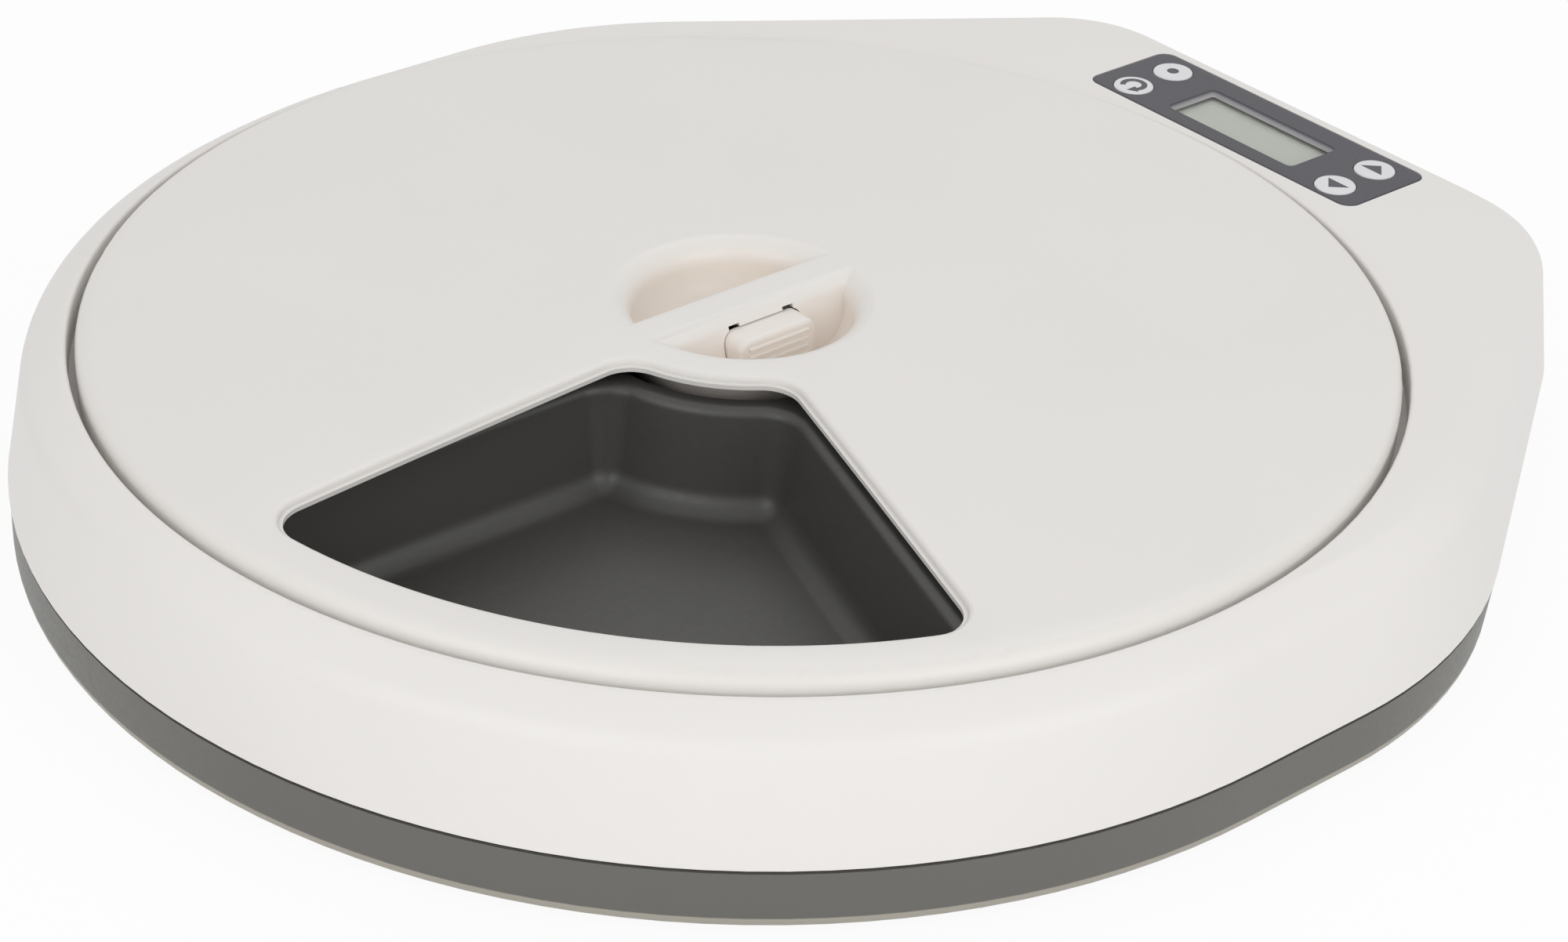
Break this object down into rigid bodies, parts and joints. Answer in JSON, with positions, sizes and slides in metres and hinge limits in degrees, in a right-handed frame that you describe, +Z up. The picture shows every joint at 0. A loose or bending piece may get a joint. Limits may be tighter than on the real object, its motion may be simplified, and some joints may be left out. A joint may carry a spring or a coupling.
{
  "type": "automatic pet feeder",
  "caption": "Low round pet feeder: a motor turns a tray of meal pockets under a lift-off lid with one serving opening, set from a small panel at the back.",
  "frame": {"origin": "middle of the bounding box's underside, on the floor between the feet", "axes": "+Z up, +Y towards the control panel at the back, +X to the right seen from the front"},
  "size_m": [0.3204, 0.3532, 0.0507],
  "materials": {
    "white_plastic": "fine satin",
    "grey_plastic": "fine satin",
    "tray_plastic": "satin",
    "rubber": "matte",
    "screw_steel": "bright",
    "cell_wrap": "satin",
    "spring_steel": "bright",
    "panel_plastic": "matte",
    "clear_window": "polished",
    "display": "matte",
    "key_plastic": "satin",
    "black_plastic": "matte",
    "circuit_board": "satin",
    "gear_plastic": "satin",
    "spindle_plastic": "satin",
    "motor_steel": "bright",
    "magnet": "bright"
  },
  "bodies": {
    "housing": {"upper_casing": "white_plastic", "tray_well": "white_plastic", "base_pan": "grey_plastic", "rubber_feet": "rubber", "casing_screws": "screw_steel", "battery_cell_1": "cell_wrap", "battery_cell_2": "cell_wrap", "battery_cell_3": "cell_wrap", "battery_spring": "spring_steel", "battery_contacts": "spring_steel", "control_panel": "panel_plastic", "display_window": "clear_window", "lcd_module": "display", "key_switches": "black_plastic", "control_board": "circuit_board", "board_screws": "screw_steel", "drive_plate": "gear_plastic", "drive_motor": "motor_steel", "gear_axles": "spring_steel", "index_sensor": "black_plastic", "drive_screws": "screw_steel", "spindle_bush": "gear_plastic"},
    "turntable": {"feeding_tray": "tray_plastic", "tray_cups": "tray_plastic", "drive_spindle": "spindle_plastic", "output_gear": "gear_plastic", "index_magnets": "magnet"},
    "second_gear": {"second_gear": "gear_plastic"},
    "first_gear": {"first_gear": "gear_plastic"},
    "motor_rotor": {"motor_pinion": "gear_plastic"},
    "lid": {"lid": "white_plastic", "lid_grip": "white_plastic", "lid_skirt": "white_plastic", "latch_spring": "spring_steel", "latch_retainer": "gear_plastic", "latch_screws": "screw_steel"},
    "latch": {"latch_button": "white_plastic"},
    "button_mode": {"button_mode": "key_plastic"},
    "button_cycle": {"button_cycle": "key_plastic"},
    "button_up": {"button_up": "key_plastic"},
    "button_down": {"button_down": "key_plastic"},
    "battery_door": {"battery_door": "grey_plastic"}
  },
  "joints": [
    {"name": "tray_spin", "type": "hinge", "parent": "housing", "child": "turntable", "pos_m": [0, -0.0164, 0.02], "axis": [0, 0, 1], "continuous": true},
    {"name": "second_gear_spin", "type": "hinge", "parent": "housing", "child": "second_gear", "pos_m": [0.0156, -0.0164, 0.02], "axis": [0, 0, 1], "continuous": true},
    {"name": "first_gear_spin", "type": "hinge", "parent": "housing", "child": "first_gear", "pos_m": [0.0078, -0.00289, 0.02], "axis": [0, 0, 1], "continuous": true},
    {"name": "motor_spin", "type": "hinge", "parent": "housing", "child": "motor_rotor", "pos_m": [-0.0078, -0.00289, 0.02], "axis": [0, 0, 1], "continuous": true},
    {"name": "lid_lift", "type": "slide", "parent": "housing", "child": "lid", "axis": [0, 0, 1], "range_m": [0, 0.09]},
    {"name": "latch_press", "type": "slide", "parent": "lid", "child": "latch", "axis": [-1, 0, 0], "range_m": [0, 0.0016], "stiffness_N_per_m": 800, "deforming": ["latch_spring"]},
    {"name": "mode_press", "type": "slide", "parent": "housing", "child": "button_mode", "axis": [0, 0, -1], "range_m": [0, 0.0005], "stiffness_N_per_m": 3000},
    {"name": "cycle_press", "type": "slide", "parent": "housing", "child": "button_cycle", "axis": [0, 0, -1], "range_m": [0, 0.0005], "stiffness_N_per_m": 3000},
    {"name": "up_press", "type": "slide", "parent": "housing", "child": "button_up", "axis": [0, 0, -1], "range_m": [0, 0.0005], "stiffness_N_per_m": 3000},
    {"name": "down_press", "type": "slide", "parent": "housing", "child": "button_down", "axis": [0, 0, -1], "range_m": [0, 0.0005], "stiffness_N_per_m": 3000},
    {"name": "battery_door_open", "type": "slide", "parent": "housing", "child": "battery_door", "axis": [0, 0, -1], "range_m": [0, 0.03]}
  ],
  "couplings": [
    {"joint": "second_gear_spin", "follows": "tray_spin", "ratio": -3.3333},
    {"joint": "first_gear_spin", "follows": "tray_spin", "ratio": 11.111},
    {"joint": "motor_spin", "follows": "tray_spin", "ratio": -37.037}
  ]
}
